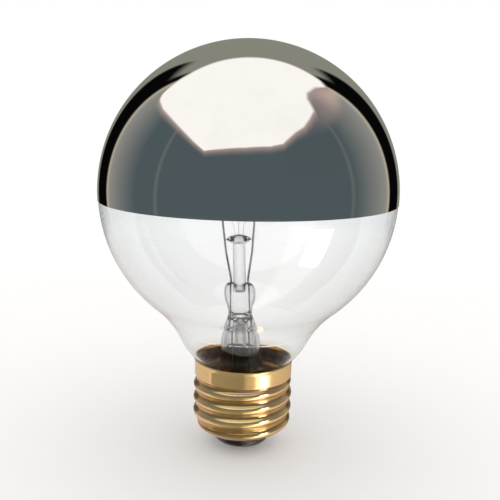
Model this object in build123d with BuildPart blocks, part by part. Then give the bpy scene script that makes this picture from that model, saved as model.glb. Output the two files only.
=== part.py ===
from build123d import *
from math import asin, atan2, cos, degrees, radians, sin, sqrt, tan, tau
import os

# Silver crown globe bulb with an E26 screw base, in millimetres.
# The origin is the centre of the foot contact's underside and +Z runs up the bulb's axis.

# Globe and neck
globe_radius = 38.0
globe_rise = 6.1  # lowest point of the globe's sphere above the rim
glass_wall = 0.6
crown_thickness = 0.15
crown_edge_drop = 1.7  # lower edge of the silvering below the globe's centre
rim_gap = 0.1  # between the neck glass and the shell's rim
neck_radius = 11.2
neck_root_radius = 3.0  # concave, where the neck tube opens out
neck_flare_angle = 46.0  # from the axis, at the rim
bulge_radius = 20.0  # convex, just above the rim
throat_angle = 26.0  # from the axis, where the neck turns concave again
seal_height = 9.0  # where the neck tube is fused to the stem's flange

# Screw shell, E26
rim_height = 24.0
shell_wall = 0.3
thread_pitch = 25.4 / 7
thread_crest_radius = 13.2
thread_depth = 0.85
thread_sink = 0.03  # how far the rolled roots dip below the plain core
thread_start_height = 7.43  # crest of the lowest turn on the +X side, from where turns are counted
ridge_start_turn = -0.9
ridge_full_turn = 0.5
ridge_fade_turn = 2.6
ridge_fade_turns = 0.55
ridge_end_turn = 3.5
ridge_steps = 8  # points on the ridge's path in each turn
lower_fade_drop = 3.4
lower_fade_lift = 1.9
upper_fade_drop = 0.3
collar_radius = 12.95
collar_start_height = 18.9
collar_blend = 0.8
lip_radius = 13.2
lip_height = 0.9
shoulder_radius = 1.4  # where the threaded part turns in to the floor
floor_angle = 39.0  # slope of the conical floor
floor_hole_radius = 9.0
floor_hole_height = 4.2
ridge_stand = 0.3  # how far the ridge's lower end may stand out below the floor
ridge_cover = 0.05  # how far the ridge's hollow stays inside the floor

# Foot of the base
insulator_side_radius = 7.5
insulator_side_height = 3.0  # top of the upright side
insulator_bottom_height = 0.9
insulator_edge_round = 1.7
insulator_side_round = 0.8
insulator_top_radius = 10.4
insulator_top_height = 7.2
eyelet_radius = 4.2
eyelet_thickness = 0.45
eyelet_edge_round = 0.2
eyelet_barrel_radius = 1.6
eyelet_barrel_length = 2.4
eyelet_bore_radius = 1.1
solder_radius = 2.8
solder_flat_radius = 1.5
solder_dome_radius = 2.0
solder_plug_length = 1.6

# Cement ring between the neck and the collar
cement_bottom_height = 20.0
cement_top_height = 23.2

# Stem
stem_lean = 2.6  # degrees towards -X, about the seal
flange_thickness = 0.8
stem_wall = 0.8
flare_foot_radius = 9.6
round_margin = 1e-4  # makes each round section a very slight ellipse, so that all loft alike
stem_hollow_top_height = 32.6
exhaust_radius = 1.6
exhaust_bore_radius = 1.0
exhaust_tip_height = 10.5
exhaust_tip_round = 1.2
exhaust_top_rise = 2.4  # above the stem's hollow
rod_radius = 1.65
rod_bottom_rise = 9.4  # above the stem's hollow
button_height = 55.9
button_radius = 3.35
button_thickness = 2.5

# Leads, seal wires and outer wires
wire_spacing = 2.25  # from the stem's axis, where the wires pass the press
lead_radius = 0.275
seal_wire_radius = 0.2
seal_bottom_rise = 3.4  # above the stem's hollow
seal_wire_length = 5.0
lead_straight_length = 4.5
lead_knee_share = 0.246  # of the way from there to the filament
lead_knee_offset = 3.4
lead_edge_share = 0.526
lead_edge_offset = 4.1
lead_bend_radius = 8.0
lead_clamp_length = 1.6
lead_clamp_radius = 0.8
outer_wire_radius = 0.2
outer_wire_bend = 1.2
outer_wire_turn_height = 9.8
foot_wire_centre_height = 8.0
foot_wire_end_height = 1.2
side_wire_out_offset = 5.5
side_wire_loop_height = 7.75
side_wire_offset = 11.62
side_wire_top_height = 21.5
weld_radius = 0.5
weld_height = 20.9

# Filament and its supports
filament_height = 74.0
filament_ring_radius = 6.3
filament_radius = 0.4
filament_open_angle = 120.0  # the gap in front, between the leads
support_count = 3
support_radius = 0.06
support_set_radius = 1.4
support_set_depth = 0.6
support_stand_share = 0.171  # of the way from the button to the filament
support_arm_share = 0.724
support_bend_radius = 0.8
support_gap = 0.05

# Values that follow from these
globe_height = rim_height + globe_rise + globe_radius
glass_radius = globe_radius - crown_thickness
crown_start_angle = -degrees(asin(crown_edge_drop / globe_radius))
rim_glass_radius = lip_radius - shell_wall - rim_gap
collar_bore_radius = collar_radius - shell_wall
thread_root_radius = thread_crest_radius - thread_depth
half_pitch = thread_pitch / 2
wave_radius = (thread_depth**2 + half_pitch**2) / (4 * thread_depth)
wave_angle = asin(half_pitch / (2 * wave_radius))
floor_rise = tan(radians(floor_angle))
floor_wall_rise = shell_wall / cos(radians(floor_angle))
seal_bottom_height = stem_hollow_top_height + seal_bottom_rise
seal_top_height = seal_bottom_height + seal_wire_length
lead_rise_height = seal_top_height + lead_straight_length
lead_knee_height = lead_rise_height + lead_knee_share * (filament_height - lead_rise_height)
lead_edge_height = lead_rise_height + lead_edge_share * (filament_height - lead_rise_height)
exhaust_top_height = stem_hollow_top_height + exhaust_top_rise
rod_bottom_height = stem_hollow_top_height + rod_bottom_rise
support_stand_height = button_height + support_stand_share * (filament_height - button_height)
support_arm_height = button_height + support_arm_share * (filament_height - button_height)
lean_sin = sin(radians(stem_lean))
lean_cos = cos(radians(stem_lean))
stem_plan = Plane(origin=(0, 0, seal_height), x_dir=(lean_cos, 0, lean_sin), z_dir=(-lean_sin, 0, lean_cos))
stem_side = Plane(origin=(0, 0, seal_height), x_dir=(lean_cos, 0, lean_sin), z_dir=(0, -1, 0))
stem_axis = Axis((0, 0, seal_height), (-lean_sin, 0, lean_cos))

os.makedirs("parts", exist_ok=True)


def keep(name, part):
    """Label a finished piece and write its file."""
    part.label = name
    export_step(part, f"parts/{name}.step")


def up_stem(height):
    """Distance up the leaning stem from the seal, for a height above the foot."""
    return height - seal_height


def stem_shift(height):
    """Sideways place of the stem's centre at a height above the foot."""
    return -up_stem(height) * tan(radians(stem_lean))


def glass_outline():
    """Outer line of the blown glass, from the neck's sealed end to the crown."""
    root_rise = neck_root_radius * sin(radians(neck_flare_angle))
    root_spread = neck_root_radius * (1 - cos(radians(neck_flare_angle)))
    cone_spread = rim_glass_radius - neck_radius - root_spread
    cone_rise = cone_spread / tan(radians(neck_flare_angle))
    tube = Line((neck_radius, seal_height), (neck_radius, rim_height - cone_rise - root_rise))
    root = JernArc(tube @ 1, tube % 1, neck_root_radius, -neck_flare_angle)
    cone = Line(root @ 1, (rim_glass_radius, rim_height))
    bulge = JernArc(cone @ 1, cone % 1, bulge_radius, neck_flare_angle - throat_angle)
    # The throat's arc is tangent to the bulge where it starts and to the globe where it ends
    start_r = (bulge @ 1).X
    start_z = (bulge @ 1).Y - globe_height
    normal_r = cos(radians(throat_angle))
    normal_z = -sin(radians(throat_angle))
    reach = start_r * normal_r + start_z * normal_z - glass_radius
    throat_radius = (glass_radius**2 - start_r**2 - start_z**2) / (2 * reach)
    centre_r = start_r + throat_radius * normal_r
    centre_z = start_z + throat_radius * normal_z
    join_angle = degrees(atan2(centre_z, centre_r))
    JernArc(bulge @ 1, bulge % 1, throat_radius, join_angle + throat_angle)
    # Split at the edge of the silvering, so that the skin and its seat have the same faces
    CenterArc((0, globe_height), glass_radius, join_angle, crown_start_angle - join_angle)
    CenterArc((0, globe_height), glass_radius, crown_start_angle, 90 - crown_start_angle)


def round_wire(path, radius):
    """Round wire of a radius along a path, in the current part."""
    with BuildSketch(Plane(origin=path @ 0, z_dir=path % 0)) as section:
        Circle(radius)
    sweep(section.sketch, path)


# Glass envelope: globe, throat, bulged neck and neck tube, blown in one piece
with BuildPart() as glass_envelope:
    with BuildSketch(Plane.XZ):
        with BuildLine():
            glass_outline()
            offset(amount=glass_wall, side=Side.LEFT)
        make_face()
    revolve(axis=Axis.Z, clean=False)
keep("glass_envelope", glass_envelope.part)

# Everything inside the glass's outer surface, for the pieces that fit round the neck
with BuildPart() as glass_form:
    with BuildSketch(Plane.XZ):
        with BuildLine():
            glass_outline()
            Polyline((0, globe_height + glass_radius), (0, seal_height), (neck_radius, seal_height))
        make_face()
    revolve(axis=Axis.Z)

# Silvering: a mirror skin over the top of the globe
with BuildPart() as silver_crown:
    with BuildSketch(Plane.XZ):
        with BuildLine():
            skin = CenterArc((0, globe_height), globe_radius, crown_start_angle, 90 - crown_start_angle)
            seat = CenterArc((0, globe_height), glass_radius, crown_start_angle, 90 - crown_start_angle)
            Line(skin @ 0, seat @ 0)
            Line(skin @ 1, seat @ 1)
        make_face()
    revolve(axis=Axis.Z)
keep("silver_crown", silver_crown.part)


def lower_fade(turn):
    """0 where the ridge is at its full height, growing to 1 at its lower end."""
    return max(0, (ridge_full_turn - turn) / (ridge_full_turn - ridge_start_turn))


def upper_fade(turn):
    """0 where the ridge is at its full height, 1 where it has sunk into the collar."""
    share = min(1, max(0, (turn - ridge_fade_turn) / ridge_fade_turns))
    return share**2 * (3 - 2 * share)


def ridge_drop(turn):
    """How far the ridge has sunk towards the axis."""
    return lower_fade_drop * lower_fade(turn) ** 3 + upper_fade_drop * upper_fade(turn)


def ridge_height(turn):
    """Height of the crest. The lower end levels out above the shell's floor."""
    return thread_start_height + thread_pitch * turn + lower_fade_lift * lower_fade(turn) ** 4


def thread_ridge(inset):
    """The ridge of the right-hand screw thread, drawn in by inset, fading out at both ends."""
    flank_r = thread_crest_radius - wave_radius + (wave_radius - inset) * cos(wave_angle)
    flank_z = (wave_radius - inset) * sin(wave_angle)
    turns = ridge_end_turn - ridge_start_turn
    step_count = round(turns * ridge_steps)
    points = []
    for step in range(step_count + 1):
        turn = ridge_start_turn + turns * step / step_count
        r = flank_r - ridge_drop(turn)
        points.append((r * cos(tau * turn), r * sin(tau * turn), ridge_height(turn)))
    # The section stands in the radial plane where the ridge starts
    start_angle = tau * ridge_start_turn
    start_plane = Plane(
        origin=(0, 0, ridge_height(ridge_start_turn)),
        x_dir=(cos(start_angle), sin(start_angle), 0),
        z_dir=(sin(start_angle), -cos(start_angle), 0),
    )
    crest_r = thread_crest_radius - inset - ridge_drop(ridge_start_turn)
    start_r = flank_r - ridge_drop(ridge_start_turn)
    foot_r = crest_r - thread_depth + thread_sink
    root_arc = wave_radius + inset
    foot_z = half_pitch - sqrt(2 * root_arc * thread_sink - thread_sink**2)
    inner_r = foot_r - shell_wall
    with BuildPart() as ridge:
        with BuildLine() as path:
            Spline(points)
        with BuildSketch(start_plane) as section:
            with BuildLine(Plane.XY):
                RadiusArc((foot_r, -foot_z), (start_r, -flank_z), root_arc)
                ThreePointArc((start_r, -flank_z), (crest_r, 0), (start_r, flank_z))
                RadiusArc((start_r, flank_z), (foot_r, foot_z), root_arc)
                Polyline((foot_r, foot_z), (inner_r, foot_z), (inner_r, -foot_z), (foot_r, -foot_z))
            make_face()
        sweep(section.sketch, path.line, is_frenet=True)
        # The lower end keeps clear of the conical floor below it
        stand = (ridge_stand if inset == 0 else -inset - ridge_cover) / cos(radians(floor_angle))
        trim_z = floor_hole_height - floor_hole_radius * floor_rise - stand
        with BuildSketch(Plane.XZ):
            with BuildLine():
                Polyline((0, trim_z), (lip_radius, trim_z + lip_radius * floor_rise), (lip_radius, trim_z), close=True)
            make_face()
        revolve(axis=Axis.Z, mode=Mode.SUBTRACT)
    return ridge.part


def shell_form(inset):
    """Solid inside the screw shell's outer surface, drawn in by inset."""
    core_r = thread_root_radius - inset + 2 * thread_sink
    floor_z = floor_hole_height - floor_hole_radius * floor_rise + inset / cos(radians(floor_angle))
    with BuildPart() as form:
        with BuildSketch(Plane.XZ):
            with BuildLine():
                wall = FilletPolyline(
                    (0, floor_z),
                    (core_r, floor_z + core_r * floor_rise),
                    (core_r, collar_start_height),
                    radius=shoulder_radius - inset,
                )
                Polyline(
                    wall @ 1,
                    (collar_radius - inset, collar_start_height + collar_blend),
                    (collar_radius - inset, rim_height - lip_height),
                    (lip_radius - inset, rim_height + inset),
                    (0, rim_height + inset),
                    wall @ 0,
                )
            make_face()
        revolve(axis=Axis.Z)
        add(thread_ridge(inset))
    return form.part


# Screw shell: drawn brass sheet with the thread rolled into it
with BuildPart() as screw_shell:
    add(shell_form(0))
    add(shell_form(shell_wall), mode=Mode.SUBTRACT)
    with BuildSketch():
        Circle(floor_hole_radius)
    extrude(amount=insulator_top_height, both=True, mode=Mode.SUBTRACT)
keep("screw_shell", screw_shell.part)

# Black glass button that closes the shell and carries the foot contact
with BuildPart() as base_insulator:
    seat_height = floor_hole_height + floor_wall_rise
    seat_top = seat_height + (insulator_top_radius - floor_hole_radius) * floor_rise
    barrel_top = insulator_bottom_height + eyelet_barrel_length
    with BuildSketch(Plane.XZ) as section:
        with BuildLine():
            Polyline(
                (eyelet_barrel_radius, insulator_bottom_height),
                (insulator_side_radius, insulator_bottom_height),
                (insulator_side_radius, insulator_side_height),
                (floor_hole_radius, floor_hole_height),
                (floor_hole_radius, seat_height),
                (insulator_top_radius, seat_top),
                (insulator_top_radius, insulator_top_height),
                (eyelet_bore_radius, insulator_top_height),
                (eyelet_bore_radius, barrel_top),
                (eyelet_barrel_radius, barrel_top),
                close=True,
            )
        make_face()
        foot_edge = section.vertices().sort_by_distance((insulator_side_radius, insulator_bottom_height))[0]
        fillet(foot_edge, insulator_edge_round)
        side_edge = section.vertices().sort_by_distance((insulator_side_radius, insulator_side_height))[0]
        fillet(side_edge, insulator_side_round)
    revolve(axis=Axis.Z)
keep("base_insulator", base_insulator.part)

# Foot contact: a brass eyelet pressed into the button
eyelet_bottom = insulator_bottom_height - eyelet_thickness
with BuildPart() as contact_eyelet:
    with BuildSketch(Plane.XZ) as section:
        with BuildLine():
            Polyline(
                (eyelet_bore_radius, eyelet_bottom),
                (eyelet_radius, eyelet_bottom),
                (eyelet_radius, insulator_bottom_height),
                (eyelet_barrel_radius, insulator_bottom_height),
                (eyelet_barrel_radius, barrel_top),
                (eyelet_bore_radius, barrel_top),
                close=True,
            )
        make_face()
        foot_edge = section.vertices().sort_by_distance((eyelet_radius, eyelet_bottom))[0]
        fillet(foot_edge, eyelet_edge_round)
    revolve(axis=Axis.Z)
keep("contact_eyelet", contact_eyelet.part)

# Leads of nickel wire: out of the press, apart, and clamped to the filament's ends
lead_names = {-1: "inner_lead_left", 1: "inner_lead_right"}
filament_end_angle = radians(filament_open_angle / 2 - 90)
clamp_x = filament_ring_radius * cos(filament_end_angle)
clamp_y = filament_ring_radius * sin(filament_end_angle)
leads = {}
for hand, name in lead_names.items():
    with BuildPart() as lead:
        with BuildLine(stem_plan) as path:
            bend_x = clamp_x + lead_clamp_length * sin(filament_end_angle)
            bend_y = clamp_y - lead_clamp_length * cos(filament_end_angle)
            FilletPolyline(
                (hand * wire_spacing, 0, up_stem(seal_top_height)),
                (hand * wire_spacing, 0, up_stem(lead_rise_height)),
                (hand * lead_knee_offset, 0, up_stem(lead_knee_height)),
                (hand * lead_edge_offset, 0, up_stem(lead_edge_height)),
                (hand * bend_x, bend_y, up_stem(filament_height)),
                (hand * clamp_x, clamp_y, up_stem(filament_height)),
                radius=[lead_bend_radius, lead_bend_radius, lead_bend_radius, lead_clamp_radius],
            )
        round_wire(path.line, lead_radius)
    leads[hand] = lead.part
    keep(name, lead.part)

# Copper-clad wires that pass the leads through the press gas-tight
seal_names = {-1: "seal_wire_left", 1: "seal_wire_right"}
seal_wires = {}
for hand, name in seal_names.items():
    with BuildPart() as seal_wire:
        with BuildSketch(stem_plan.offset(up_stem(seal_bottom_height))):
            with Locations((hand * wire_spacing, 0)):
                Circle(seal_wire_radius)
        extrude(amount=seal_top_height - seal_bottom_height)
    seal_wires[hand] = seal_wire.part
    keep(name, seal_wire.part)

# Copper wire down to the foot contact
with BuildPart() as foot_wire:
    with BuildLine(Plane.XZ) as path:
        FilletPolyline(
            (stem_shift(seal_bottom_height) - wire_spacing, seal_bottom_height),
            (stem_shift(outer_wire_turn_height) - wire_spacing, outer_wire_turn_height),
            (0, foot_wire_centre_height),
            (0, foot_wire_end_height),
            radius=outer_wire_bend,
        )
    round_wire(path.line, outer_wire_radius)
keep("foot_wire", foot_wire.part)

# Copper wire that turns up outside the neck tube to the collar
with BuildPart() as side_wire:
    with BuildLine(Plane.XZ) as path:
        FilletPolyline(
            (stem_shift(seal_bottom_height) + wire_spacing, seal_bottom_height),
            (stem_shift(outer_wire_turn_height) + wire_spacing, outer_wire_turn_height),
            (side_wire_out_offset, side_wire_loop_height),
            (side_wire_offset, side_wire_loop_height),
            (side_wire_offset, side_wire_top_height),
            radius=[outer_wire_bend / 2, outer_wire_bend, outer_wire_bend],
        )
    round_wire(path.line, outer_wire_radius)
keep("side_wire", side_wire.part)

# Weld bead that joins the side wire to the inside of the collar
with BuildPart() as side_weld:
    with BuildSketch(Plane.YZ.offset(side_wire_offset)):
        with Locations((0, weld_height)):
            Circle(weld_radius)
    extrude(amount=collar_radius - side_wire_offset)
    with BuildSketch(Plane.XY.offset(weld_height - weld_radius)):
        Circle(collar_bore_radius)
    extrude(amount=2 * weld_radius, mode=Mode.INTERSECT)
    add(side_wire.part, mode=Mode.SUBTRACT)
keep("side_weld", side_weld.part)

# Basing cement: a ring that fills the collar round the neck
with BuildPart() as basing_cement:
    with BuildSketch(Plane.XY.offset(cement_bottom_height)):
        Circle(collar_bore_radius)
    extrude(amount=cement_top_height - cement_bottom_height)
    add(glass_form.part, mode=Mode.SUBTRACT)
    add(side_wire.part, mode=Mode.SUBTRACT)
    add(side_weld.part, mode=Mode.SUBTRACT)
keep("basing_cement", basing_cement.part)

# Solder on the foot contact: a low dome with a worn flat and a plug round the wire
with BuildPart() as contact_solder:
    with BuildSketch(Plane.XZ):
        with BuildLine():
            Line((0, 0), (solder_flat_radius, 0))
            RadiusArc((solder_flat_radius, 0), (solder_radius, eyelet_bottom), -solder_dome_radius)
            Polyline(
                (solder_radius, eyelet_bottom),
                (eyelet_bore_radius, eyelet_bottom),
                (eyelet_bore_radius, eyelet_bottom + solder_plug_length),
                (0, eyelet_bottom + solder_plug_length),
                (0, 0),
            )
        make_face()
    revolve(axis=Axis.Z)
    add(foot_wire.part, mode=Mode.SUBTRACT)
keep("contact_solder", contact_solder.part)

# Exhaust tube, tipped off below
with BuildPart() as exhaust_tube:
    with BuildSketch(stem_plan.offset(up_stem(exhaust_tip_height))):
        Circle(exhaust_radius)
    extrude(amount=exhaust_top_height - exhaust_tip_height)
    tip = exhaust_tube.edges().sort_by(stem_axis)[0]
    fillet(tip, exhaust_tip_round)
    with BuildSketch(stem_plan.offset(up_stem(exhaust_tip_height) + exhaust_tip_round)):
        Circle(exhaust_bore_radius)
    extrude(amount=exhaust_top_height - exhaust_tip_height, mode=Mode.SUBTRACT)
keep("exhaust_tube", exhaust_tube.part)

# Glass rod with its lens-shaped button, and the support wires set in the button
support_names = [f"support_wire_{number + 1}" for number in range(support_count)]
supports = []
for number, name in enumerate(support_names):
    spread = 180 / support_count
    turn = Rotation(0, 0, spread * (number + 0.5))
    with BuildPart() as support:
        with BuildLine(Plane(stem_plan.location * turn * Plane.XZ.location)) as path:
            FilletPolyline(
                (support_set_radius, up_stem(button_height) + button_thickness / 2 - support_set_depth),
                (support_set_radius, up_stem(support_stand_height)),
                (filament_ring_radius, up_stem(support_arm_height)),
                (filament_ring_radius, up_stem(filament_height) - filament_radius - support_gap),
                radius=support_bend_radius,
            )
        round_wire(path.line, support_radius)
    supports.append(support.part)
    keep(name, support.part)

with BuildPart() as arbor_rod:
    with BuildSketch(stem_plan.offset(up_stem(rod_bottom_height))):
        Circle(rod_radius)
    extrude(amount=button_height - rod_bottom_height)
    with BuildSketch(stem_side):
        with BuildLine():
            low = up_stem(button_height) - button_thickness / 2
            high = up_stem(button_height) + button_thickness / 2
            waist = up_stem(button_height)
            Line((0, low), (0, high))
            RadiusArc((0, high), (button_radius, waist), button_radius**2 / button_thickness)
            RadiusArc((button_radius, waist), (0, low), button_radius**2 / button_thickness)
        make_face()
    revolve(axis=stem_axis)
    for support in supports:
        add(support, mode=Mode.SUBTRACT)
keep("arbor_rod", arbor_rod.part)

# Tungsten filament: the coil's outer form, an open ring between the two leads
with BuildPart() as filament:
    with BuildLine(stem_plan.offset(up_stem(filament_height))) as path:
        CenterArc((0, 0), filament_ring_radius, degrees(filament_end_angle), 360 - filament_open_angle)
    round_wire(path.line, filament_radius)
keep("filament", filament.part)

# Stem: a flare tube, its flange fused to the neck, pinched flat into the press at the top.
# Tube sections have a share of the way from the seal to the top of the hollow, and a radius.
tube_sections = ((0, flare_foot_radius), (0.085, 7.7), (0.254, 6.4), (0.508, 5.7), (0.763, 5.3), (0.932, 4.8))
# Press sections have a height above the hollow, half their width and half their depth.
press_sections = (
    (0.8, 3.9, 3.5),
    (3.6, 3.15, 2.2),
    (6.9, 3.9, 2.0),
    (9.4, 4.1, 2.1),
    (11.0, 3.6, 1.8),
    (11.6, 2.8, 1.3),
)
hollow_rise = stem_hollow_top_height - seal_height
hollow_sections = [(seal_height + share * hollow_rise, radius) for share, radius in tube_sections]
flare_sections = [(height, radius, radius) for height, radius in hollow_sections]
flare_sections += [(stem_hollow_top_height + rise, width, depth) for rise, width, depth in press_sections]
with BuildPart() as stem_flare:
    for height, half_width, half_depth in flare_sections:
        with BuildSketch(Plane((stem_shift(height), 0, height))):
            Ellipse(half_width + round_margin, half_depth)
    loft()
    for height, radius in hollow_sections:
        with BuildSketch(Plane((stem_shift(height), 0, height))):
            Circle(radius - stem_wall)
    with BuildSketch(Plane((stem_shift(stem_hollow_top_height), 0, stem_hollow_top_height))):
        Circle(wire_spacing + stem_wall)
    loft(mode=Mode.SUBTRACT)
    with BuildSketch(Plane.XY.offset(seal_height)):
        Circle(neck_radius)
        Circle(flare_foot_radius - stem_wall, mode=Mode.SUBTRACT)
    extrude(amount=-flange_thickness)
    for wire in (leads[-1], leads[1], seal_wires[-1], seal_wires[1], foot_wire.part, side_wire.part):
        add(wire, mode=Mode.SUBTRACT)
    add(arbor_rod.part, mode=Mode.SUBTRACT)
    with BuildSketch(stem_plan.offset(up_stem(exhaust_tip_height))):
        Circle(exhaust_radius)
    extrude(amount=exhaust_top_height - exhaust_tip_height, mode=Mode.SUBTRACT)
keep("stem_flare", stem_flare.part)
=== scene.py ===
import math

import bmesh
import bpy
from mathutils import Matrix, Vector


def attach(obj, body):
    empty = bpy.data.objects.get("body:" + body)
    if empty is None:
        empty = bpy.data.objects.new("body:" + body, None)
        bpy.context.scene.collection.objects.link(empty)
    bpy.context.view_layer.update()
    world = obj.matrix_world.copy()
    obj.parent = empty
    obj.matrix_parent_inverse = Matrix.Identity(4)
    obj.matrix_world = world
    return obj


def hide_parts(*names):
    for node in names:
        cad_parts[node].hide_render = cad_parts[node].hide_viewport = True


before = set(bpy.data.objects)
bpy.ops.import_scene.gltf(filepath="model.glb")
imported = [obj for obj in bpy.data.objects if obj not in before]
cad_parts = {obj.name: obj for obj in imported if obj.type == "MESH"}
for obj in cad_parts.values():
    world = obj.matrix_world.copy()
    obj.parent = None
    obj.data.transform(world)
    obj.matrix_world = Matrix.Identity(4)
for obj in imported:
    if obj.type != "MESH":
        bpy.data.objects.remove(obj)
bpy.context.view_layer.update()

# Sizes of the bulb, in metres
mm = 0.001
globe_radius = 38.0 * mm
globe_height = 68.1 * mm
glass_radius = 37.85 * mm
glass_wall = 0.6 * mm
crown_edge_drop = 1.7 * mm
crown_seat_gap = 0.01 * mm
crown_tilt = 0.0125
rim_height = 24.0 * mm
rim_glass_radius = 12.8 * mm
neck_radius = 11.2 * mm
neck_root_radius = 3.0 * mm
neck_flare_angle = math.radians(46)
bulge_radius = 20.0 * mm
throat_angle = math.radians(26)
seal_height = 9.0 * mm
neck_top_height = 33.0 * mm
# Below these heights the glass is painted brown: painted shade of the brass shell's inside round the neck
base_shade_full_height = rim_height - 1 * mm
base_shade_end_height = rim_height + 2 * mm

# Screw shell
thread_pitch = 25.4 / 7 * mm
thread_crest_radius = 13.2 * mm
thread_depth = 0.85 * mm
thread_start_height = 7.43 * mm
ridge_start_turn = -0.9
ridge_full_turn = 0.5
ridge_fade_turn = 2.6
ridge_fade_turns = 0.55
lower_fade_drop = 3.4 * mm
lower_fade_lift = 1.9 * mm
upper_fade_drop = 0.3 * mm
collar_radius = 12.95 * mm
collar_start_height = 18.9 * mm
collar_blend = 0.8 * mm
lip_radius = 13.2 * mm
lip_height = 0.9 * mm
shoulder_radius = 1.4 * mm
shell_wall = 0.3 * mm
floor_angle = math.radians(39)
floor_hole_radius = 9.0 * mm
floor_hole_height = 4.2 * mm
run_out_stand = 0.9 * mm

# Black glass button at the foot of the base
button_bottom = 0.9 * mm
button_edge_centre = (5.8 * mm, 2.6 * mm)
button_side_radius = 7.5 * mm
button_hollow_centre = (8.3 * mm, 2.6155 * mm)
button_hollow_angle = math.radians(51.34)
button_inside_height = 4.586 * mm
button_rest_height = 5.72 * mm
button_top_radius = 10.4 * mm
button_top_height = 7.2 * mm
eyelet_seat_radius = 1.6 * mm
eyelet_seat_height = 3.3 * mm
wire_hole_radius = 1.1 * mm

# Stem and filament
stem_lean = math.radians(2.6)
filament_height = 74.0 * mm
filament_ring_radius = 6.3 * mm
filament_radius = 0.4 * mm
filament_gap_angle = math.radians(120)
coil_turns = 120
coil_wire_radius = 0.07 * mm
points_per_turn = 12

# How fine the turned and threaded pieces are, and where their edges stay sharp
merge_distance = 0.2e-6
edge_angle = math.radians(35)
thread_edge_angle = math.radians(50)
around = 160
thread_around = 288
thread_rows = 110

# Softbox above the bulb: its outline seen from above, in millimetres
softbox_height = 600 * mm
softbox_soft_edge = 32 * mm
softbox_outline = (
    (-565, 262), (-588, 225), (-605, 92), (-580, -262), (-562, -486), (-525, -705), (-299, -728),
    (-40, -722), (205, -672), (322, -590), (372, -396), (410, -300), (413, -195), (405, -85),
    (322, -15), (308, 25), (338, 130), (395, 240), (340, 278), (148, 280), (-8, 276), (-148, 272),
    (-302, 264), (-419, 280), (-520, 284),
)

# Spill round the softbox: its outline scaled up about a place at its back, in millimetres
spill_centre = (-90, 292)
spill_reach = 1.17

# The glow on the softbox's outline, where it is 0 at the spill's edge and 1 inside, and the spill's fade
spill_glow = 0.4
spill_fall = 2.2

# The rest of the studio, in metres
side_card_low = -0.03
side_card_high = 0.037
side_card_right = (0.1, -0.067)
side_card_left = (0.076, -0.094)
floor_half_width = 0.6
floor_fade_start = 0.08
floor_fade_end = 0.4
backdrop_radius = 3.0

# How far up a reflection points, where the studio's bands of colour change into each other
below_full = -0.32
level_start = -0.2
level_end = 0.62
raised_full = 0.74

# Camera, at the photograph's viewing angle
camera_place = Vector((0, -184.47 * mm, 89.1 * mm))
camera_yaw = 0.0046
camera_pitch = 0.1929
camera_roll = 0.0318
camera_lens = 51.96
camera_sensor = 36.0
camera_clip = 0.005


# Turned pieces


def draw_outline(bm, start, moves):
    """An open or closed outline in the XZ plane: lines to a point, and arcs about a centre."""
    vert = bm.verts.new((start[0], 0, start[1]))
    for move in moves:
        if move[0] == "line":
            step = bmesh.ops.extrude_vert_indiv(bm, verts=[vert])
            vert = step["verts"][0]
            vert.co = (move[1][0], 0, move[1][1])
        else:
            centre, angle, steps = move[1:]
            turned = bmesh.ops.spin(
                bm, geom=[vert], cent=(centre[0], 0, centre[1]), axis=(0, -1, 0), angle=angle, steps=steps
            )
            vert = [item for item in turned["geom_last"] if isinstance(item, bmesh.types.BMVert)][0]
    return vert


def finish_piece(bm, name, sharp_angle=edge_angle):
    """A bmesh made an object at the origin, smoothly shaded, with its faces turned outwards."""
    bmesh.ops.remove_doubles(bm, verts=bm.verts, dist=merge_distance)
    bmesh.ops.recalc_face_normals(bm, faces=bm.faces)
    for face in bm.faces:
        face.smooth = True
    for edge in bm.edges:
        edge.smooth = not edge.is_manifold or edge.calc_face_angle(0) < sharp_angle
    mesh = bpy.data.meshes.new(name)
    bm.to_mesh(mesh)
    bm.free()
    piece = bpy.data.objects.new(name, mesh)
    bpy.context.collection.objects.link(piece)
    return piece


def spin_round(bm, steps):
    """A bmesh's outline spun once round the bulb's axis."""
    bmesh.ops.spin(
        bm, geom=bm.verts[:] + bm.edges[:], cent=(0, 0, 0), axis=(0, 0, 1), angle=math.tau,
        steps=steps, use_merge=True,
    )


def turned_piece(name, start, moves):
    """A piece turned from its outline."""
    bm = bmesh.new()
    draw_outline(bm, start, moves)
    bmesh.ops.remove_doubles(bm, verts=bm.verts, dist=merge_distance)
    spin_round(bm, around)
    return finish_piece(bm, name)


def smooth_copy(name, node):
    """A copy of a CAD node's mesh, merged and smoothly shaded."""
    bm = bmesh.new()
    bm.from_mesh(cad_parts[node].data)
    return finish_piece(bm, name)


def seat(piece, slot_name, *nodes):
    """Rides a piece on the bulb in place of its CAD nodes."""
    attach(piece, "root")
    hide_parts(*nodes)


# Glass envelope


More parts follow.
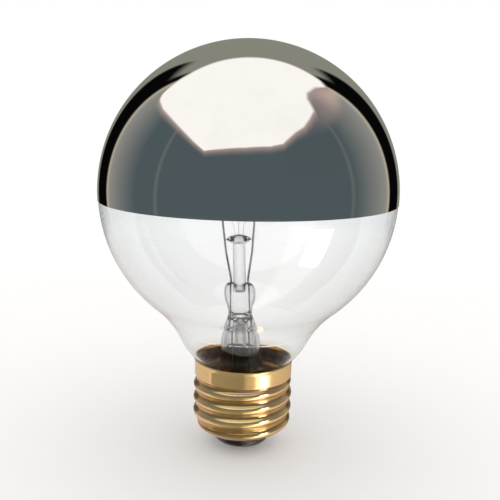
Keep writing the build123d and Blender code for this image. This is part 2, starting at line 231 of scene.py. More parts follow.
def glass_moves():
    """The blown glass's outer line from its sealed end up to the pole, and its inner line back down."""
    root_rise = neck_root_radius * math.sin(neck_flare_angle)
    root_spread = neck_root_radius * (1 - math.cos(neck_flare_angle))
    cone_spread = rim_glass_radius - neck_radius - root_spread
    cone_rise = cone_spread / math.tan(neck_flare_angle)
    tube_top = rim_height - cone_rise - root_rise
    root_centre = (neck_radius + neck_root_radius, tube_top)
    bulge_centre = (
        rim_glass_radius - bulge_radius * math.cos(neck_flare_angle),
        rim_height + bulge_radius * math.sin(neck_flare_angle),
    )
    start_r = bulge_centre[0] + bulge_radius * math.cos(throat_angle)
    start_z = bulge_centre[1] - bulge_radius * math.sin(throat_angle)
    normal_r = math.cos(throat_angle)
    normal_z = -math.sin(throat_angle)
    rise = start_z - globe_height
    reach = start_r * normal_r + rise * normal_z - glass_radius
    throat_radius = (glass_radius**2 - start_r**2 - rise**2) / (2 * reach)
    throat_centre = (start_r + throat_radius * normal_r, start_z + throat_radius * normal_z)
    join_angle = math.atan2(throat_centre[1] - globe_height, throat_centre[0])
    globe_centre = (0, globe_height)
    rim_point = (rim_glass_radius, rim_height)
    outer = [
        ("line", (neck_radius, tube_top)),
        ("arc", root_centre, -neck_flare_angle, 10),
        ("line", rim_point),
        ("arc", bulge_centre, neck_flare_angle - throat_angle, 14),
        ("arc", throat_centre, join_angle + throat_angle, 26),
        ("arc", globe_centre, math.pi / 2 - join_angle, 90),
    ]
    inner = [
        ("line", (0, globe_height + glass_radius - glass_wall)),
        ("arc", globe_centre, join_angle - math.pi / 2, 90),
        ("arc", throat_centre, -join_angle - throat_angle, 26),
        ("arc", bulge_centre, throat_angle - neck_flare_angle, 14),
        ("line", (rim_glass_radius - cone_spread - glass_wall * math.cos(neck_flare_angle),
                  rim_height - cone_rise + glass_wall * math.sin(neck_flare_angle))),
        ("arc", root_centre, neck_flare_angle, 10),
        ("line", (neck_radius - glass_wall, seal_height)),
        ("line", (neck_radius, seal_height)),
    ]
    return outer + inner


def make_glass_envelope():
    piece = turned_piece("glass_bulb", (neck_radius, seal_height), glass_moves())
    seat(piece, "clear_glass", "glass_envelope")
    return piece


def make_silver_crown():
    seat_radius = glass_radius + crown_seat_gap
    drop_angle = math.asin(crown_edge_drop / globe_radius)
    low = (globe_radius * math.cos(drop_angle), globe_height - crown_edge_drop)
    seat_start = (0, globe_height + seat_radius)
    centre = (0, globe_height)
    moves = [
        ("arc", centre, math.pi / 2 + drop_angle, 100),
        ("line", seat_start),
        ("arc", centre, -math.pi / 2 - drop_angle, 100),
        ("line", low),
    ]
    piece = turned_piece("mirrored_crown", low, moves)
    # The silvering's edge isn't quite square to the axis
    middle = Matrix.Translation((0, 0, globe_height))
    piece.data.transform(middle @ Matrix.Rotation(-crown_tilt, 4, "Y") @ middle.inverted())
    seat(piece, "mirror_silver", "silver_crown")
    return piece


# Threaded brass shell


def lower_fade(turn):
    return max(0, (ridge_full_turn - turn) / (ridge_full_turn - ridge_start_turn))


def ridge_drop(turn):
    share = min(1, max(0, (turn - ridge_fade_turn) / ridge_fade_turns))
    return lower_fade_drop * lower_fade(turn) ** 3 + upper_fade_drop * share**2 * (3 - 2 * share)


def ridge_height(turn):
    return thread_start_height + thread_pitch * turn + lower_fade_lift * lower_fade(turn) ** 4


def thread_radius(angle, height):
    """Radius of the rolled thread at a place round and up the shell."""
    half_pitch = thread_pitch / 2
    wave_radius = (thread_depth**2 + half_pitch**2) / (4 * thread_depth)
    best = 0
    for lap in range(-1, 5):
        turn = angle / math.tau + lap
        if turn < ridge_start_turn:
            continue
        offset = abs(height - ridge_height(turn))
        if offset > half_pitch:
            continue
        if offset < half_pitch / 2:
            rise = thread_depth - wave_radius + math.sqrt(wave_radius**2 - offset**2)
        else:
            rise = wave_radius - math.sqrt(wave_radius**2 - (half_pitch - offset) ** 2)
        best = max(best, thread_crest_radius - thread_depth + rise - ridge_drop(turn))
    floor_reach = floor_hole_radius + (height - floor_hole_height + run_out_stand) / math.tan(floor_angle)
    return min(best, floor_reach)


def make_screw_shell():
    core_radius = thread_crest_radius - thread_depth
    floor_rise = math.tan(floor_angle)
    corner_height = floor_hole_height + (core_radius - floor_hole_radius) * floor_rise
    tangent = shoulder_radius * math.tan((math.pi / 2 - floor_angle) / 2)
    shoulder_centre = (core_radius - shoulder_radius, corner_height + tangent)
    shoulder_start = (
        shoulder_centre[0] + shoulder_radius * math.sin(floor_angle),
        shoulder_centre[1] - shoulder_radius * math.cos(floor_angle),
    )
    bm = bmesh.new()
    moves = [
        ("line", shoulder_start),
        ("arc", shoulder_centre, math.pi / 2 - floor_angle, 18),
        ("line", (core_radius, collar_start_height)),
        ("line", (collar_radius, collar_start_height + collar_blend)),
        ("line", (collar_radius, rim_height - lip_height)),
        ("line", (lip_radius, rim_height)),
    ]
    draw_outline(bm, (floor_hole_radius, floor_hole_height), moves)
    bmesh.ops.remove_doubles(bm, verts=bm.verts, dist=merge_distance)
    row_height = (rim_height - floor_hole_height) / thread_rows
    for level in range(1, thread_rows):
        plane_height = floor_hole_height + level * row_height
        bmesh.ops.bisect_plane(
            bm, geom=bm.verts[:] + bm.edges[:], plane_co=(0, 0, plane_height), plane_no=(0, 0, 1), dist=1e-7
        )
    spin_round(bm, thread_around)
    thread_end = collar_start_height + collar_blend + thread_pitch
    for vert in bm.verts:
        reach = math.hypot(vert.co.x, vert.co.y)
        wanted = thread_radius(math.atan2(vert.co.y, vert.co.x) % math.tau, vert.co.z)
        if vert.co.z < thread_end and wanted > reach:
            vert.co.x *= wanted / reach
            vert.co.y *= wanted / reach
    piece = finish_piece(bm, "brass_screw_shell", sharp_angle=thread_edge_angle)
    wall = piece.modifiers.new("sheet", "SOLIDIFY")
    wall.thickness = shell_wall
    wall.offset = -1
    seat(piece, "brass", "screw_shell")
    return piece


# Filament


def make_filament_coil():
    """One fine coil wound round the filament's ring, between the two leads."""
    ring_turn = Matrix.Rotation(-stem_lean, 4, "Y")
    ring_height = Vector((0, 0, seal_height)) + ring_turn @ Vector((0, 0, filament_height - seal_height))
    wound = filament_radius - coil_wire_radius
    path = bpy.data.curves.new("coil_path", "CURVE")
    path.dimensions = "3D"
    path.bevel_depth = coil_wire_radius
    path.bevel_resolution = 1
    spline = path.splines.new("POLY")
    count = coil_turns * points_per_turn
    spline.points.add(count)
    first = filament_gap_angle / 2 - math.pi / 2
    for index in range(count + 1):
        bearing = first + (math.tau - filament_gap_angle) * index / count
        wind = math.tau * coil_turns * index / count
        reach = filament_ring_radius + wound * math.cos(wind)
        place = Vector((reach * math.cos(bearing), reach * math.sin(bearing), wound * math.sin(wind)))
        spline.points[index].co = (*(ring_height + ring_turn @ place), 1)
    source = bpy.data.objects.new("coil_path", path)
    piece = bpy.data.objects.new("filament_coil", bpy.data.meshes.new_from_object(source))
    bpy.data.objects.remove(source)
    bpy.context.collection.objects.link(piece)
    for face in piece.data.polygons:
        face.use_smooth = True
    seat(piece, "tungsten", "filament")
    return piece


# Foot of the base


def button_moves():
    """The black button's outline, from the eyelet's seat round its side to the wire's hole."""
    return [
        ("line", (button_edge_centre[0], button_bottom)),
        ("arc", button_edge_centre, math.pi / 2, 14),
        ("line", (button_side_radius, button_hollow_centre[1])),
        ("arc", button_hollow_centre, -button_hollow_angle, 8),
        ("line", (floor_hole_radius, floor_hole_height)),
        ("line", (floor_hole_radius, button_inside_height)),
        ("line", (button_top_radius, button_rest_height)),
        ("line", (button_top_radius, button_top_height)),
        ("line", (wire_hole_radius, button_top_height)),
        ("line", (wire_hole_radius, eyelet_seat_height)),
        ("line", (eyelet_seat_radius, eyelet_seat_height)),
        ("line", (eyelet_seat_radius, button_bottom)),
    ]


def make_base_foot():
    """The black button with the eyelet and its solder."""
    button = turned_piece("black_glass_button", (eyelet_seat_radius, button_bottom), button_moves())
    seat(button, "black_glass", "base_insulator")
    eyelet = smooth_copy("foot_eyelet", "contact_eyelet")
    seat(eyelet, "brass", "contact_eyelet")
    cap = smooth_copy("foot_solder", "contact_solder")
    seat(cap, "solder", "contact_solder")
    return button, eyelet, cap


# Materials


def add_node(tree, kind, settings=None, values=None, **links):
    """A node with its settings, the values of its inputs, and links to inputs by name."""
    node = tree.nodes.new(kind)
    for name, value in (settings or {}).items():
        setattr(node, name, value)
    for name, value in (values or {}).items():
        node.inputs[name].default_value = value
    for name, source in links.items():
        tree.links.new(source, node.inputs[name.replace("_", " ")])
    return node


def make_wear_group():
    """Patches and fine grain on Object coordinates, shared by every material of the bulb."""
    group = bpy.data.node_groups.new("surface_wear", "ShaderNodeTree")
    sockets = group.interface
    usual = {"Patch Scale": 90.0, "Patch Level": 0.55, "Grain Scale": 1200.0, "Relief": 0.1}
    for name, value in usual.items():
        sockets.new_socket(name, in_out="INPUT", socket_type="NodeSocketFloat").default_value = value
    sockets.new_socket("Stretch", in_out="INPUT", socket_type="NodeSocketVector").default_value = (1, 1, 1)
    sockets.new_socket("Patches", in_out="OUTPUT", socket_type="NodeSocketFloat")
    sockets.new_socket("Grain", in_out="OUTPUT", socket_type="NodeSocketFloat")
    sockets.new_socket("Normal", in_out="OUTPUT", socket_type="NodeSocketVector")
    given = group.nodes.new("NodeGroupInput")
    handed = group.nodes.new("NodeGroupOutput")
    coords = group.nodes.new("ShaderNodeTexCoord")
    spread = group.nodes.new("ShaderNodeVectorMath")
    spread.operation = "MULTIPLY"
    group.links.new(coords.outputs["Object"], spread.inputs[0])
    group.links.new(given.outputs["Stretch"], spread.inputs[1])
    patches = add_node(group, "ShaderNodeTexNoise", values={"Detail": 5.0, "Roughness": 0.6},
                       Vector=spread.outputs[0], Scale=given.outputs["Patch Scale"])
    above = group.nodes.new("ShaderNodeMath")
    above.operation = "SUBTRACT"
    group.links.new(patches.outputs["Fac"], above.inputs[0])
    group.links.new(given.outputs["Patch Level"], above.inputs[1])
    soft = add_node(group, "ShaderNodeMapRange", {"interpolation_type": "SMOOTHSTEP"},
                    {"From Min": -0.1, "From Max": 0.1}, Value=above.outputs[0])
    grain = add_node(group, "ShaderNodeTexNoise", values={"Detail": 3.0},
                     Vector=spread.outputs[0], Scale=given.outputs["Grain Scale"])
    bump = add_node(group, "ShaderNodeBump", values={"Distance": 0.0001},
                    Strength=given.outputs["Relief"], Height=grain.outputs["Fac"])
    group.links.new(soft.outputs["Result"], handed.inputs["Patches"])
    group.links.new(grain.outputs["Fac"], handed.inputs["Grain"])
    group.links.new(bump.outputs["Normal"], handed.inputs["Normal"])
    return group


def make_place_group():
    """Distance from the bulb's axis and height up it, as shares of given ranges."""
    group = bpy.data.node_groups.new("bulb_place", "ShaderNodeTree")
    sockets = group.interface
    for name in ("Inner Radius", "Outer Radius", "Low Height", "High Height"):
        sockets.new_socket(name, in_out="INPUT", socket_type="NodeSocketFloat")
    sockets.new_socket("Radius Share", in_out="OUTPUT", socket_type="NodeSocketFloat")
    sockets.new_socket("Height Share", in_out="OUTPUT", socket_type="NodeSocketFloat")
    given = group.nodes.new("NodeGroupInput")
    handed = group.nodes.new("NodeGroupOutput")
    coords = group.nodes.new("ShaderNodeTexCoord")
    parts = group.nodes.new("ShaderNodeSeparateXYZ")
    group.links.new(coords.outputs["Object"], parts.inputs[0])
    flat = group.nodes.new("ShaderNodeCombineXYZ")
    group.links.new(parts.outputs["X"], flat.inputs["X"])
    group.links.new(parts.outputs["Y"], flat.inputs["Y"])
    reach = group.nodes.new("ShaderNodeVectorMath")
    reach.operation = "LENGTH"
    group.links.new(flat.outputs[0], reach.inputs[0])
    for source, low, high, out in (
        (reach.outputs["Value"], "Inner Radius", "Outer Radius", "Radius Share"),
        (parts.outputs["Z"], "Low Height", "High Height", "Height Share"),
    ):
        share = group.nodes.new("ShaderNodeMapRange")
        group.links.new(source, share.inputs["Value"])
        group.links.new(given.outputs[low], share.inputs["From Min"])
        group.links.new(given.outputs[high], share.inputs["From Max"])
        group.links.new(share.outputs["Result"], handed.inputs[out])
    return group


wear_group = make_wear_group()
place_group = make_place_group()


def new_material(name):
    """A material with its node tree and its shader."""
    material = bpy.data.materials.new(name)
    material.use_nodes = True
    tree = material.node_tree
    shader = tree.nodes["Principled BSDF"]
    return material, tree, shader


def add_group(tree, group, **values):
    """A shared node group in a material, with its inputs set."""
    node = tree.nodes.new("ShaderNodeGroup")
    node.node_tree = group
    for name, value in values.items():
        node.inputs[name.replace("_", " ").title()].default_value = value
    return node


def mix_colours(tree, share, first, second):
    """A colour between two, which are colours or sockets."""
    mix = tree.nodes.new("ShaderNodeMix")
    mix.data_type = "RGBA"
    tree.links.new(share, mix.inputs["Factor"])
    for name, colour in (("A", first), ("B", second)):
        socket = [item for item in mix.inputs if item.name == name and item.type == "RGBA"][0]
        if isinstance(colour, tuple):
            socket.default_value = (*colour, 1)
        else:
            tree.links.new(colour, socket)
    return [item for item in mix.outputs if item.type == "RGBA"][0]


def map_share(tree, share, low, high):
    """A share from 0 to 1 stretched to run from low to high."""
    mapped = add_node(tree, "ShaderNodeMapRange", values={"To Min": low, "To Max": high}, Value=share)
    return mapped.outputs["Result"]


def patchy_surface(name, base_and_shade, wear_and_sheen, rough_low, rough_high, metallic=1.0, **wear_values):
    """A metal or solid surface between two colours in patches, with grain in its roughness."""
    material, tree, shader = new_material(name)
    wear = add_group(tree, wear_group, **wear_values)
    roughness = map_share(tree, wear.outputs["Grain"], rough_low, rough_high)
    tree.links.new(mix_colours(tree, wear.outputs["Patches"], base_and_shade, wear_and_sheen), shader.inputs["Base Color"])
    tree.links.new(roughness, shader.inputs["Roughness"])
    tree.links.new(wear.outputs["Normal"], shader.inputs["Normal"])
    shader.inputs["Metallic"].default_value = metallic
    return material


def blown_glass(name, middle, edge, painted_base_shade, blend, ior, **wear_values):
    """Clear glass, deeper in colour where it is seen edge on (in the stem so dark that it is painted
    shade), and painted brown where the base is round it: painted shade of the brass shell's inside.
    """
    material, tree, shader = new_material(name)
    facing = add_node(tree, "ShaderNodeLayerWeight", values={"Blend": blend})
    wear = add_group(tree, wear_group, **wear_values)
    place = add_group(tree, place_group, low_height=base_shade_full_height, high_height=base_shade_end_height)
    clear = mix_colours(tree, facing.outputs["Facing"], middle, edge)
    colour = mix_colours(tree, place.outputs["Height Share"], painted_base_shade, clear)
    tree.links.new(colour, shader.inputs["Base Color"])
    tree.links.new(map_share(tree, wear.outputs["Patches"], 0.0, 0.012), shader.inputs["Roughness"])
    tree.links.new(wear.outputs["Normal"], shader.inputs["Normal"])
    shader.inputs["IOR"].default_value = ior
    shader.inputs["Transmission Weight"].default_value = 1
    return material


def make_brass():
    """Rolled brass: bright crests, roots darkened with painted shade, copper-coloured streaks round the
    shell.
    """
    material, tree, shader = new_material("brass")
    wear = add_group(
        tree, wear_group, patch_scale=70.0, patch_level=0.54, grain_scale=500.0, relief=0.05,
        stretch=(1, 1, 2.5),
    )
    place = add_group(
        tree, place_group, inner_radius=thread_crest_radius - thread_depth,
        outer_radius=thread_crest_radius - 0.2 * mm,
    )
    # The darker root colour is painted shade in the thread's grooves; the crest colour is the brass's own
    root = (0.5, 0.32, 0.13)
    crest = (0.9, 0.69, 0.34)
    copper_tone = (0.86, 0.55, 0.36)
    rolled = mix_colours(tree, place.outputs["Radius Share"], root, crest)
    streaks = map_share(tree, wear.outputs["Patches"], 0.0, 0.55)
    tree.links.new(mix_colours(tree, streaks, rolled, copper_tone), shader.inputs["Base Color"])
    tree.links.new(map_share(tree, wear.outputs["Grain"], 0.1, 0.24), shader.inputs["Roughness"])
    tree.links.new(wear.outputs["Normal"], shader.inputs["Normal"])
    shader.inputs["Metallic"].default_value = 0.84
    return material


def dress(piece, material):
    """Gives a piece one material."""
    piece.data.materials.clear()
    piece.data.materials.append(material)


def dress_neck(envelope, material):
    """Gives the envelope's neck, which has the dark base below it to mirror, a glass that reflects less."""
    envelope.data.materials.append(material)
    for face in envelope.data.polygons:
        if face.center.z < neck_top_height:
            face.material_index = 1


# Studio


def stage_piece(bm, name, material):
    """A bmesh made a piece of the studio, which is no part of the bulb."""
    mesh = bpy.data.meshes.new(name)
    bm.to_mesh(mesh)
    bm.free()
    piece = bpy.data.objects.new(name, mesh)
    bpy.context.collection.objects.link(piece)
    piece.data.materials.append(material)
    return piece


def flat_card(name, corners, material):
    """A four-cornered card of the studio."""
    bm = bmesh.new()
    bm.faces.new([bm.verts.new(corner) for corner in corners])
    return stage_piece(bm, name, material)


def empty_glow(name):
    """A material with an emission shader and an output that are still to be linked."""
    material = bpy.data.materials.new(name)
    material.use_nodes = True
    tree = material.node_tree
    tree.nodes.clear()
    glow = tree.nodes.new("ShaderNodeEmission")
    out = tree.nodes.new("ShaderNodeOutputMaterial")
    return material, tree, glow, out


def glowing(name, colour, strength):
    """A material that glows evenly."""
    material, tree, glow, out = empty_glow(name)
    glow.inputs["Color"].default_value = (*colour, 1)
    glow.inputs["Strength"].default_value = strength
    tree.links.new(glow.outputs[0], out.inputs["Surface"])
    return material


def softbox_glow():
    """A diffuser's glow that weakens and warms towards its edge, with a rosy spill outside it."""
    material, tree, glow, out = empty_glow("softbox_glow")
    share = add_node(tree, "ShaderNodeAttribute", {"attribute_name": "glow"}).outputs["Fac"]
    spill = add_node(tree, "ShaderNodeMapRange", values={"From Max": spill_glow}, Value=share)
    fade = tree.nodes.new("ShaderNodeMath")
    fade.operation = "POWER"
    fade.inputs[1].default_value = spill_fall
    tree.links.new(spill.outputs["Result"], fade.inputs[0])
    soft = add_node(tree, "ShaderNodeMapRange", {"interpolation_type": "SMOOTHSTEP"},
                    {"From Min": spill_glow}, Value=share)
    colour = mix_colours(tree, soft.outputs["Result"], (0.38, 0.29, 0.265), (1.0, 0.972, 0.93))
    tree.links.new(colour, glow.inputs["Color"])
    clear = tree.nodes.new("ShaderNodeBsdfTransparent")
    spread = tree.nodes.new("ShaderNodeMixShader")
    tree.links.new(fade.outputs[0], spread.inputs[0])
    tree.links.new(clear.outputs[0], spread.inputs[1])
    tree.links.new(glow.outputs[0], spread.inputs[2])
    tree.links.new(spread.outputs[0], out.inputs["Surface"])
    return material


def pale_floor():
    """A pale sheet, clear from below and further out, where the white surroundings take over."""
    material = bpy.data.materials.new("pale_floor")
    material.use_nodes = True
    tree = material.node_tree
    shader = tree.nodes["Principled BSDF"]
    shader.inputs["Roughness"].default_value = 0.8
    shader.inputs["Specular IOR Level"].default_value = 0.1
    shader.inputs["Emission Strength"].default_value = 0.12
    shader.inputs["Emission Color"].default_value = (1, 1, 1, 1)
    coords = tree.nodes.new("ShaderNodeTexCoord")
    grain = add_node(tree, "ShaderNodeTexNoise", values={"Scale": 400.0}, Vector=coords.outputs["Object"])
    colour = mix_colours(tree, grain.outputs["Fac"], (0.9, 0.9, 0.9), (0.93, 0.93, 0.93))
    tree.links.new(colour, shader.inputs["Base Color"])
    reach = tree.nodes.new("ShaderNodeVectorMath")
    reach.operation = "LENGTH"
    tree.links.new(coords.outputs["Object"], reach.inputs[0])
    edges = {"From Min": floor_fade_start, "From Max": floor_fade_end, "To Min": 1.0, "To Max": 0.0}
    fade = add_node(tree, "ShaderNodeMapRange", {"interpolation_type": "SMOOTHSTEP"}, edges,
                    Value=reach.outputs["Value"])
    side = tree.nodes.new("ShaderNodeNewGeometry")
    front = add_node(tree, "ShaderNodeMapRange", values={"To Min": 1.0, "To Max": 0.0},
                     Value=side.outputs["Backfacing"])
    cover = tree.nodes.new("ShaderNodeMath")
    cover.operation = "MULTIPLY"
    tree.links.new(fade.outputs["Result"], cover.inputs[0])
    tree.links.new(front.outputs["Result"], cover.inputs[1])
    tree.links.new(cover.outputs[0], shader.inputs["Alpha"])
    return material


def hide_from_camera(card):
    """Keeps a light out of sight, through glass too, and from casting a shadow."""
    card.visible_camera = False
    card.visible_transmission = False
    card.visible_shadow = False


def make_softbox():
    """The softbox overhead, with the outline that its reflection in the crown gives, and its spill."""
    bm = bmesh.new()
    glow = bm.verts.layers.float.new("glow")
    back = Vector((*spill_centre, 0)) * mm
    level = Vector((0, 0, softbox_height))
    spill_level = level + Vector((0, 0, mm))
    rim = [bm.verts.new(Vector((x, y, 0)) * mm + level) for x, y in softbox_outline]
    outer = [bm.verts.new(back + (vert.co - level - back) * spill_reach + spill_level) for vert in rim]
    for index in range(len(rim)):
        bm.faces.new((outer[index - 1], outer[index], rim[index], rim[index - 1]))
    lit = bm.faces.new(rim)
    bm.normal_update()
    bmesh.ops.inset_region(bm, faces=[lit], thickness=softbox_soft_edge, use_boundary=True)
    for vert in bm.verts:
        vert[glow] = 0.0 if vert.is_boundary else spill_glow
    for vert in lit.verts:
        vert[glow] = 1.0
    hide_from_camera(stage_piece(bm, "softbox", softbox_glow()))


def make_side_card():
    """A small card in front on the right, for the bright streak down the brass."""
    corners = [
        (*side_card_right, side_card_low), (*side_card_left, side_card_low),
        (*side_card_left, side_card_high), (*side_card_right, side_card_high),
    ]
    card = flat_card("side_card", corners, glowing("side_card_glow", (1.0, 0.97, 0.9), 5.0))
    hide_from_camera(card)
    card.visible_diffuse = False


def make_floor():
    """A pale floor, which fades into the white surroundings."""
    half = floor_half_width
    corners = [(-half, -half, 0), (half, -half, 0), (half, half, 0), (-half, half, 0)]
    flat_card("floor", corners, pale_floor()).visible_glossy = False


def make_backdrop():
    """White surroundings, which nothing mirrors."""
    bm = bmesh.new()
    bmesh.ops.create_icosphere(bm, subdivisions=4, radius=backdrop_radius)
    bmesh.ops.reverse_faces(bm, faces=bm.faces)
    backdrop = stage_piece(bm, "backdrop", glowing("backdrop_white", (1, 1, 1), 1.0))
    backdrop.visible_glossy = False
    backdrop.visible_shadow = False


def bearing_ramp(tree, share, stops):
    """Colours by bearing, from -180 to 180 degrees."""
    ramp = tree.nodes.new("ShaderNodeValToRGB")
    tree.links.new(share, ramp.inputs["Fac"])
    ramp.color_ramp.elements.remove(ramp.color_ramp.elements[1])
    for index, (bearing, colour) in enumerate(stops):
        place = (bearing + 180) / 360
        if index == 0:
            stop = ramp.color_ramp.elements[0]
            stop.position = place
        else:
            stop = ramp.color_ramp.elements.new(place)
        stop.color = (*colour, 1)
    return ramp.outputs["Color"]


def build_world():
    """The dark studio that the mirror and the brass reflect, by direction."""
    world = bpy.data.worlds.new("studio")
    bpy.context.scene.world = world
    world.use_nodes = True
    tree = world.node_tree
    ground = tree.nodes["Background"]
    coords = tree.nodes.new("ShaderNodeTexCoord")
    parts = tree.nodes.new("ShaderNodeSeparateXYZ")
    tree.links.new(coords.outputs["Generated"], parts.inputs[0])
    angle = tree.nodes.new("ShaderNodeMath")
    angle.operation = "ARCTAN2"
    tree.links.new(parts.outputs["X"], angle.inputs[0])
    tree.links.new(parts.outputs["Y"], angle.inputs[1])
    turn = tree.nodes.new("ShaderNodeMapRange")
    turn.inputs["From Min"].default_value = -math.pi
    turn.inputs["From Max"].default_value = math.pi
    tree.links.new(angle.outputs[0], turn.inputs["Value"])
    slate = (0.075, 0.098, 0.108)
    beige = (0.27, 0.265, 0.245)
    olive = (0.24, 0.24, 0.2)
    dim = (0.16, 0.17, 0.165)
    cream = (0.5, 0.44, 0.34)
    black = (0.002, 0.002, 0.002)
    streak_left = (0.14, 0.15, 0.15)
    streak_right = (0.13, 0.14, 0.14)
    # Bearings in degrees clockwise from +Y, with the colour there
    level = [
        (-180, slate), (-112, slate), (-110, streak_left), (-108, slate), (-90, slate), (-74, dim),
        (-56, beige), (-52.5, cream), (-50.5, black), (-29, black), (-27, olive), (30, olive),
        (31.5, black), (52, black), (54, cream), (58, beige), (80, dim), (96, slate),
        (99, streak_right), (101, slate), (180, slate),
    ]
    # High up, the far backdrop reaches further round and the softbox's warmth spills to the right
    raised = [
        (-180, slate), (-90, slate), (-74, dim), (-56, beige), (-52.5, cream), (-50.5, black),
        (-46, black), (-43, olive), (41, olive), (44, black), (52, black), (54, (0.56, 0.44, 0.36)),
        (68, (0.46, 0.35, 0.31)), (84, (0.26, 0.22, 0.21)), (110, (0.12, 0.125, 0.13)), (140, slate),
        (180, slate),
    ]
    # Low down, the brass mirrors pale and rosy sheets, with two bright ones to left and right
    pale = (0.95, 0.85, 0.7)
    rosy = (0.72, 0.6, 0.55)
    shade = (0.2, 0.17, 0.1)
    below = [
        (-180, shade), (-172, shade), (-110, (0.3, 0.26, 0.18)), (-101, shade), (-98, (1.5, 1.4, 1.25)),
        (-95, rosy), (-20, rosy), (0, (0.4, 0.34, 0.27)), (50, (0.62, 0.5, 0.42)),
        (100, (0.8, 0.66, 0.54)), (112, pale), (118, (2.4, 2.3, 2.1)), (146, (2.2, 2.1, 1.9)),
        (152, (0.8, 0.7, 0.45)), (172, (0.55, 0.46, 0.28)), (178, shade), (180, shade),
    ]
    level_colour = bearing_ramp(tree, turn.outputs["Result"], level)
    raised_colour = bearing_ramp(tree, turn.outputs["Result"], raised)
    rise = add_node(tree, "ShaderNodeMapRange", {"interpolation_type": "SMOOTHSTEP"},
                    {"From Min": level_end, "From Max": raised_full}, Value=parts.outputs["Z"])
    upper = mix_colours(tree, rise.outputs["Result"], level_colour, raised_colour)
    lower = bearing_ramp(tree, turn.outputs["Result"], below)
    drop = add_node(tree, "ShaderNodeMapRange", {"interpolation_type": "SMOOTHSTEP"},
                    {"From Min": below_full, "From Max": level_start}, Value=parts.outputs["Z"])
    tree.links.new(mix_colours(tree, drop.outputs["Result"], lower, upper), ground.inputs["Color"])
    ground.inputs["Strength"].default_value = 1.0


def build_camera():
    """The camera, turned by its yaw, pitch and roll."""
    data = bpy.data.cameras.new("camera")
    data.lens = camera_lens
    data.sensor_width = camera_sensor
    camera = bpy.data.objects.new("camera", data)
    bpy.context.collection.objects.link(camera)
    ahead = Vector((
        math.sin(camera_yaw) * math.cos(camera_pitch),
        math.cos(camera_yaw) * math.cos(camera_pitch),
        -math.sin(camera_pitch),
    ))
    right = Vector((math.cos(camera_yaw), -math.sin(camera_yaw), 0))
    up = right.cross(ahead)
    rolled_right = right * math.cos(camera_roll) + up * math.sin(camera_roll)
    rolled_up = up * math.cos(camera_roll) - right * math.sin(camera_roll)
    turn = Matrix((rolled_right, rolled_up, -ahead)).transposed()
    camera.matrix_world = Matrix.Translation(camera_place) @ turn.to_4x4()
    data.clip_start = camera_clip
    bpy.context.scene.camera = camera


# The bulb's materials

mirror = patchy_surface(
    "mirror_silver", base_and_shade=(0.95, 0.95, 0.94), wear_and_sheen=(0.9, 0.9, 0.885), rough_low=0.0, rough_high=0.035,
    patch_scale=40.0, patch_level=0.6, relief=0.0,
)
# The brown low on these glasses is painted shade of the brass shell's inside, not a tint of the glass
clear_glass, neck_glass = [
    blown_glass(
        name, middle=(0.985, 0.99, 0.993), edge=(0.5, 0.58, 0.57), painted_base_shade=(0.8, 0.6, 0.36), blend=0.16,
        ior=ior, patch_scale=30.0, relief=0.0,
    )
    for name, ior in (("clear_glass", 1.45), ("neck_glass", 1.14))
]
# The stem's near-black edge colour is painted shade: the dark lines down the sides of its glass rod and
# press
stem_glass = blown_glass(
    "stem_glass", middle=(0.95, 0.955, 0.97), edge=(0.14, 0.14, 0.18), painted_base_shade=(0.78, 0.58, 0.36), blend=0.6,
    ior=1.5, patch_scale=120.0, relief=0.02,
)
brass = make_brass()
black_glass = patchy_surface(
    "black_glass", base_and_shade=(0.012, 0.01, 0.009), wear_and_sheen=(0.045, 0.036, 0.03), rough_low=0.1, rough_high=0.3,
    metallic=0.0, patch_scale=160.0,
)
solder = patchy_surface(
    "solder", base_and_shade=(0.62, 0.62, 0.61), wear_and_sheen=(0.4, 0.4, 0.39), rough_low=0.3, rough_high=0.55,
    patch_scale=300.0, relief=0.4,
)
nickel = patchy_surface(
    "nickel_wire", base_and_shade=(0.3, 0.3, 0.29), wear_and_sheen=(0.12, 0.12, 0.12), rough_low=0.2, rough_high=0.45,
    patch_scale=260.0,
)
copper = patchy_surface(
    "copper_wire", base_and_shade=(0.36, 0.21, 0.15), wear_and_sheen=(0.18, 0.1, 0.08), rough_low=0.3, rough_high=0.55,
    patch_scale=400.0,
)
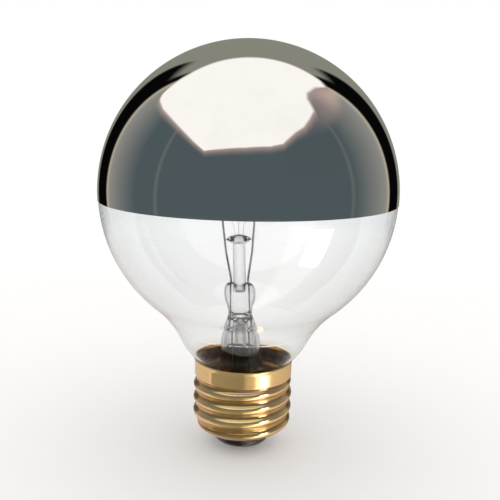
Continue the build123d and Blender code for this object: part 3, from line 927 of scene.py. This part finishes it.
molybdenum = patchy_surface(
    "molybdenum_wire", base_and_shade=(0.85, 0.85, 0.86), wear_and_sheen=(0.7, 0.7, 0.71), rough_low=0.3, rough_high=0.5,
    metallic=0.3, patch_scale=500.0,
)
tungsten = patchy_surface(
    "tungsten", base_and_shade=(0.3, 0.3, 0.31), wear_and_sheen=(0.2, 0.2, 0.2), rough_low=0.4, rough_high=0.6,
    patch_scale=500.0,
)
# The cement's dark brown is painted shade of the base's shaded inside, and its copper-coloured patches are
# painted reflections of the brass shell
cement = patchy_surface(
    "cement", base_and_shade=(0.16, 0.08, 0.03), wear_and_sheen=(0.42, 0.2, 0.075), rough_low=0.5, rough_high=0.8,
    metallic=0.0, patch_scale=250.0, relief=0.6,
)

# The bulb's pieces

envelope = make_glass_envelope()
dress(envelope, clear_glass)
dress_neck(envelope, neck_glass)
dress(make_silver_crown(), mirror)
dress(make_screw_shell(), brass)
button, eyelet, solder_cap = make_base_foot()
dress(button, black_glass)
dress(eyelet, brass)
dress(solder_cap, solder)
dress(make_filament_coil(), tungsten)
copies = {
    "stem_flare": ("stem_press", "stem_glass", stem_glass),
    "exhaust_tube": ("exhaust", "stem_glass", stem_glass),
    "arbor_rod": ("arbor", "stem_glass", stem_glass),
    "inner_lead_left": ("lead_left", "nickel_wire", nickel),
    "inner_lead_right": ("lead_right", "nickel_wire", nickel),
    "seal_wire_left": ("seal_left", "copper_wire", copper),
    "seal_wire_right": ("seal_right", "copper_wire", copper),
    "foot_wire": ("wire_to_foot", "copper_wire", copper),
    "side_wire": ("wire_to_side", "copper_wire", copper),
    "side_weld": ("weld_bead", "solder", solder),
    "support_wire_1": ("support_a", "molybdenum_wire", molybdenum),
    "support_wire_2": ("support_b", "molybdenum_wire", molybdenum),
    "support_wire_3": ("support_c", "molybdenum_wire", molybdenum),
    "basing_cement": ("cement_ring", "cement", cement),
}
for node, (name, slot_name, material) in copies.items():
    piece = smooth_copy(name, node)
    seat(piece, slot_name, node)
    dress(piece, material)

# Lights, surroundings and camera

make_softbox()
make_side_card()
make_floor()
make_backdrop()
build_world()
build_camera()
bpy.context.scene.view_settings.view_transform = "Standard"
